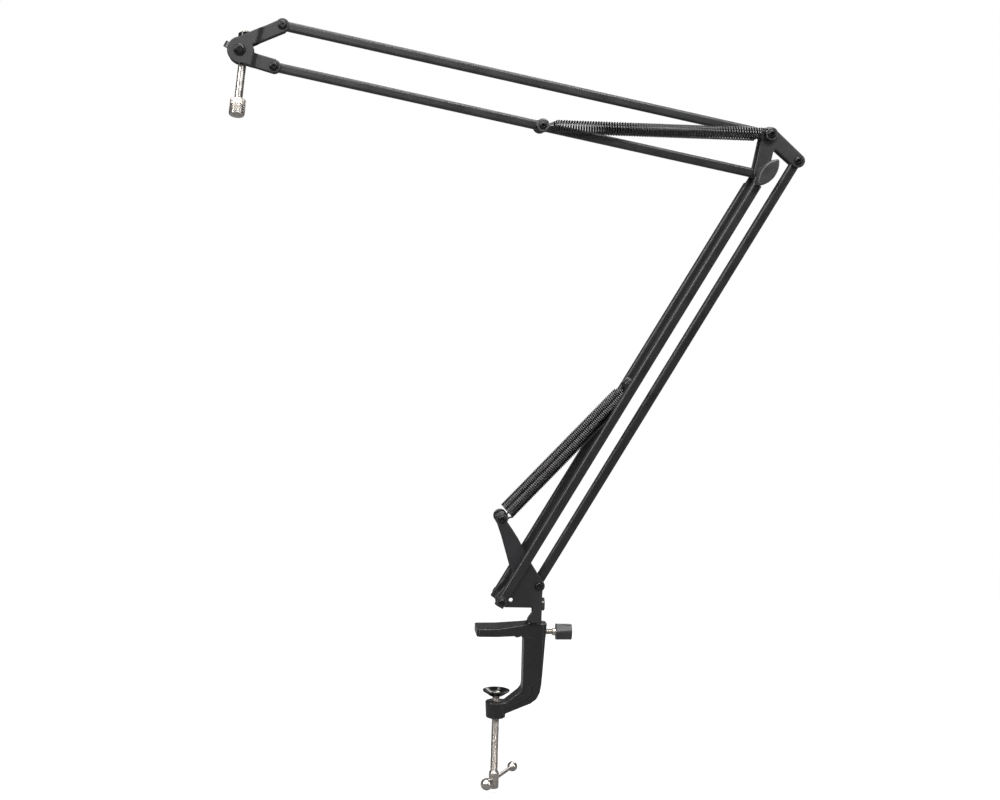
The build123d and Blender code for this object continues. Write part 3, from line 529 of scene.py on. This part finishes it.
collar = [(4.0, POST_LENGTH - 16.6), (6.2, POST_LENGTH - 16.6), (6.9, POST_LENGTH - 16.4)]
collar += [(COLLAR_RADIUS, POST_LENGTH - 15.7 + 5.9 * i / 36) for i in range(37)]
collar += [(7.5, POST_LENGTH - 9.6), (7.1, POST_LENGTH - 9.3), (7.1, THREAD_START),
           (0, THREAD_START)]
lathe("post_collar", collar, segments=264, radial=knurl,
      replaces="thread_adaptor", **post)
thread("post_thread", radius=7.94, pitch=0.94, depth=0.42, start=THREAD_START,
       end=POST_LENGTH - 0.7, rows_per_turn=12, segments=72, **post)
POST_END = [                    # radius, distance short of the post's end
    (0, 1.0), (7.4, 1.0), (7.35, 0.25), (7.0, 0.0), (3.6, 0.0), (3.2, 0.35), (3.0, 0.8),
    (0, 0.8)]
lathe("post_end", [(radius, POST_LENGTH - short) for radius, short in POST_END],
      segments=72, **post)


# ------------------------------------------------------------------ camera
CAMERA_PLACE = (-0.19098, -1.88165, 0.42878)
ROLL = math.radians(1.1)
# world axes as the camera sees them: x right, y up, z toward the camera
world_y = np.array((-0.0979849003, 0.0999945685, -1.0))
world_y /= np.linalg.norm(world_y)
world_z = np.array((math.sin(ROLL), math.cos(ROLL), 0.0))
world_z -= world_y * (world_z @ world_y)
world_z /= np.linalg.norm(world_z)
world_x = np.cross(world_y, world_z)

camera_data = bpy.data.cameras.new("camera")
camera_data.sensor_width = 36.0
camera_data.lens = 66.2796
camera_data.clip_start = 0.05
camera_data.clip_end = 100.0
camera = bpy.data.objects.new("camera", camera_data)
scene.collection.objects.link(camera)
rows = [(*axis, place) for axis, place in zip((world_x, world_y, world_z), CAMERA_PLACE)]
camera.matrix_world = Matrix((*rows, (0, 0, 0, 1)))
scene.camera = camera

# ------------------------------------------------------------------ lights
LIGHTS = (                      # name, place, target, size x, size y (m), power (W)
    ("front", (-0.75, -2.5, 1.5), (-0.2, 0, 0.5), 1.5, 1.2, 29),
    ("key", (-1.8, -0.9, 1.3), (0, 0, 0.3), 0.6, 1.6, 40),
    ("fill", (1.7, -1.3, 0.8), (0, 0, 0.3), 0.35, 1.5, 15),
    ("top", (-0.1, -0.15, 2.2), (0, 0, 0.2), 1.8, 1.0, 60),
    ("edge", (0.40, -1.30, 1.30), (0.05, 0, 0.1), 0.9, 0.3, 19),
    ("rim", (0.9, 1.7, 1.4), (0, 0, 0.3), 1.2, 0.9, 20),
)
for name, place, target, size_x, size_y, power in LIGHTS:
    light = bpy.data.lights.new(name, "AREA")
    light.shape = "RECTANGLE"
    light.size = size_x
    light.size_y = size_y
    light.energy = power
    lamp = bpy.data.objects.new(name, light)
    scene.collection.objects.link(lamp)
    lamp.location = place
    aim = Vector(target) - Vector(place)
    lamp.rotation_euler = aim.to_track_quat("-Z", "Y").to_euler()


# ------------------------------------------------------------------ world and floor
def build_world():
    """White to the camera; to everything else a dark horizon, paler above and toward +Y."""
    world = bpy.data.worlds.new("studio")
    scene.world = world
    n = Nodes(world)
    direction = n.add("SeparateXYZ", {0: n.coords.outputs["Generated"]})
    by_height = n.color_ramp(n.remap(direction.outputs["Z"], source=(-1.0, 1.0)),
                             first=(0.10, 0.10, 0.10, 1), middle=(0.035, 0.035, 0.037, 1),
                             last=(0.55, 0.56, 0.58, 1))
    toward_back = n.remap(direction.outputs["Y"], source=(-0.5, 0.6))
    color = n.mix(toward_back, by_height, (0.22, 0.215, 0.21))
    seen = n.add("Background", {"Color": (1, 1, 1, 1), "Strength": 1.0})
    cast = n.add("Background", {"Color": color, "Strength": 0.6})
    camera_ray = n.add("LightPath").outputs["Is Camera Ray"]
    n.add("OutputWorld", {0: n.add("MixShader", {0: camera_ray, 1: cast, 2: seen})})


def floor_paint():
    """Pale floor that fades into the white surround; only the camera sees it pale."""
    n = Nodes(bpy.data.materials.new("floor_paint"))
    position = n.coords.outputs["Object"]
    mottle = n.color_ramp(n.add("TexNoise", {"Scale": 30.0, "Vector": position}),
                          first=(0.86, 0.86, 0.86, 1), last=(0.90, 0.90, 0.90, 1))
    pale = n.add("BsdfPrincipled", {"Base Color": mottle, "Roughness": 0.8})
    white = n.add("Emission", {"Color": (1, 1, 1, 1), "Strength": 1.0})
    distance = n.add("VectorMath", {0: position}, operation="LENGTH").outputs["Value"]
    fade = n.remap(n.remap(distance, source=(0.35, 1.6)), source=(0.0, 1.0), to=(0.55, 1.0))
    camera_ray = n.add("LightPath").outputs["Is Camera Ray"]
    seen = n.add("MixShader", {0: n.multiply(fade, camera_ray), 1: pale, 2: white})
    unseen = n.add("BsdfDiffuse", {"Color": (0.20, 0.20, 0.20, 1)})
    n.add("OutputMaterial", {0: n.add("MixShader", {0: camera_ray, 1: unseen, 2: seen})})
    return n.owner


build_world()
floor_material = floor_paint()
bpy.ops.mesh.primitive_circle_add(vertices=96, radius=14.0, fill_type="NGON",
                                  location=(0, 0, -0.172))
floor = bpy.context.object
floor.name = "floor"
floor.data.materials.append(floor_material)

scene.view_settings.view_transform = "Standard"
scene.view_settings.look = "None"

record_bounds()
